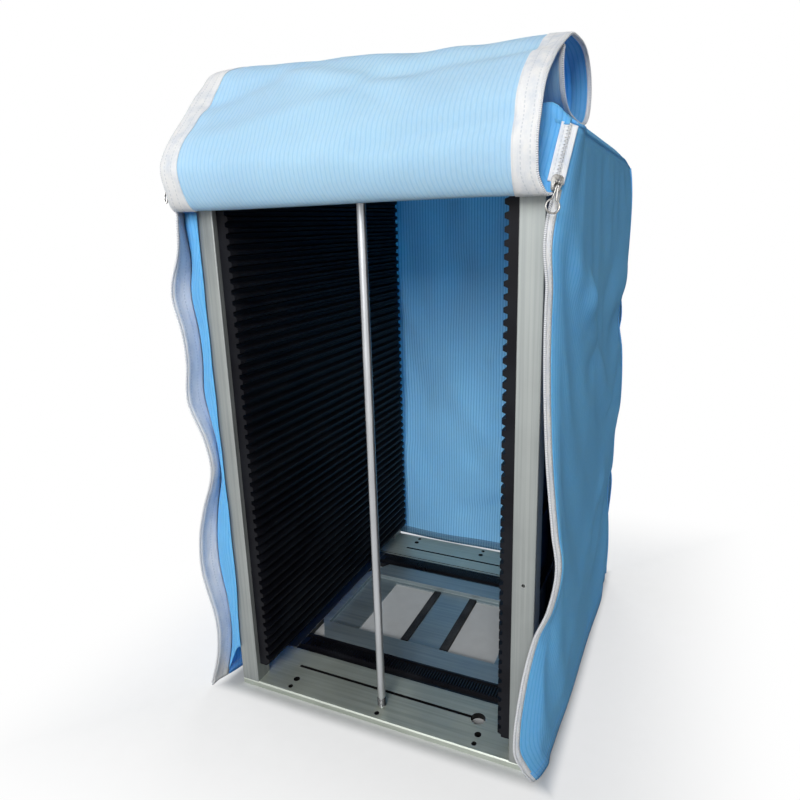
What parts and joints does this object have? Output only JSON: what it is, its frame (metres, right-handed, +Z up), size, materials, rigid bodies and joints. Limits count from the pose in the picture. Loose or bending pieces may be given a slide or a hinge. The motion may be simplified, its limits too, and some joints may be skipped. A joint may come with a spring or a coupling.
{
  "type": "circuit board magazine rack with dust cover",
  "caption": "Upright open-front magazine rack for circuit boards: slotted walls, one moved by racks and pinions, a sprung stop rod, and a zipped fabric dust cover with its flap rolled up.",
  "frame": {"origin": "on the floor under the middle of the rack, on the underside of the base tray's web", "axes": "+X towards the movable wall, +Y towards the closed rear of the cover, +Z up"},
  "size_m": [0.3808, 0.3979, 0.6278],
  "materials": {
    "plate_steel": "brushed flat plate with a bright bevelled edge",
    "tray_steel": "folded sheet with a dull blue-grey finish",
    "rubber_trim": "ribbed black edge trim",
    "black_plastic": "conductive black moulding, satin",
    "post_aluminium": "satin extruded aluminium",
    "bright_steel": "bright turned steel",
    "cover_fabric": "light blue woven polyester with fine darker conductive stripes",
    "white_tape": "white woven binding tape with stitching",
    "zip_tape": "grey-white zip with a nylon coil",
    "zip_metal": "bright plated die-cast zip slider"
  },
  "bodies": {
    "rack": {"base_front_strip": "plate_steel", "base_rear_strip": "plate_steel", "base_left_rail": "plate_steel", "base_right_rail": "plate_steel", "base_tray": "tray_steel", "base_edge_trims": "rubber_trim", "base_front_rack": "black_plastic", "base_rear_rack": "black_plastic", "base_screws": "bright_steel", "top_front_strip": "plate_steel", "top_rear_strip": "plate_steel", "top_left_rail": "plate_steel", "top_right_rail": "plate_steel", "top_tray": "tray_steel", "top_edge_trims": "rubber_trim", "top_front_rack": "black_plastic", "top_rear_rack": "black_plastic", "top_screws": "bright_steel", "front_left_post": "post_aluminium", "front_right_post": "post_aluminium", "rear_left_post": "post_aluminium", "rear_right_post": "post_aluminium", "fixed_wall": "black_plastic", "fixed_wall_ribs": "black_plastic", "fixed_wall_screws": "bright_steel", "rod_spring": "bright_steel"},
    "wall": {"movable_wall": "black_plastic", "movable_wall_ribs": "black_plastic", "wall_lock_screws": "bright_steel", "lower_front_bearing": "black_plastic", "lower_rear_bearing": "black_plastic", "upper_front_bearing": "black_plastic", "upper_rear_bearing": "black_plastic"},
    "lower_drive": {"lower_shaft": "bright_steel", "lower_front_pinion": "black_plastic", "lower_rear_pinion": "black_plastic"},
    "upper_drive": {"upper_shaft": "bright_steel", "upper_front_pinion": "black_plastic", "upper_rear_pinion": "black_plastic"},
    "rod": {"stop_rod": "bright_steel"},
    "cover": {"cover_top_panel": "cover_fabric", "cover_back_panel": "cover_fabric", "cover_left_panel": "cover_fabric", "cover_right_panel": "cover_fabric", "cover_flap": "cover_fabric", "flap_left_tape": "white_tape", "flap_right_tape": "white_tape", "left_edge_tape": "white_tape", "right_edge_tape": "white_tape", "left_zip": "zip_tape", "right_zip": "zip_tape"},
    "left_slider": {"left_zip_slider": "zip_metal"},
    "right_slider": {"right_zip_slider": "zip_metal"},
    "left_pull": {"left_zip_pull": "zip_metal"},
    "right_pull": {"right_zip_pull": "zip_metal"}
  },
  "joints": [
    {"name": "wall_slide", "type": "slide", "parent": "rack", "child": "wall", "axis": [-1, 0, 0], "range_m": [0, 0.115]},
    {"name": "lower_drive_spin", "type": "hinge", "parent": "wall", "child": "lower_drive", "pos_m": [0.13535, 0, 0.01575], "axis": [0, 1, 0], "range_deg": [-840, 840]},
    {"name": "upper_drive_spin", "type": "hinge", "parent": "wall", "child": "upper_drive", "pos_m": [0.13535, 0, 0.54725], "axis": [0, 1, 0], "range_deg": [-840, 840]},
    {"name": "rod_press", "type": "slide", "parent": "rack", "child": "rod", "axis": [0, 0, -1], "range_m": [0, 0.0045], "stiffness_N_per_m": 400, "springref_m": -0.02, "deforming": ["rod_spring"]},
    {"name": "cover_lift", "type": "slide", "parent": "rack", "child": "cover", "axis": [0, 0, 1], "range_m": [0, 0.6]},
    {"name": "left_zip_run", "type": "slide", "parent": "cover", "child": "left_slider", "axis": [-0.1549, 0.2656, 0.9516], "range_m": [0, 0.019]},
    {"name": "right_zip_run", "type": "slide", "parent": "cover", "child": "right_slider", "axis": [0.1549, 0.2656, 0.9516], "range_m": [0, 0.033]},
    {"name": "left_pull_swing", "type": "hinge", "parent": "left_slider", "child": "left_pull", "pos_m": [-0.17385, -0.19132, 0.52599], "axis": [-0.8556, 0.4455, -0.2636], "range_deg": [0, 150]},
    {"name": "right_pull_swing", "type": "hinge", "parent": "right_slider", "child": "right_pull", "pos_m": [0.17168, -0.19504, 0.51267], "axis": [-0.8556, -0.4455, 0.2636], "range_deg": [0, 150]}
  ],
  "couplings": [
    {"joint": "lower_drive_spin", "follows": "wall_slide", "rad_per_m": -125},
    {"joint": "upper_drive_spin", "follows": "wall_slide", "rad_per_m": 125}
  ]
}
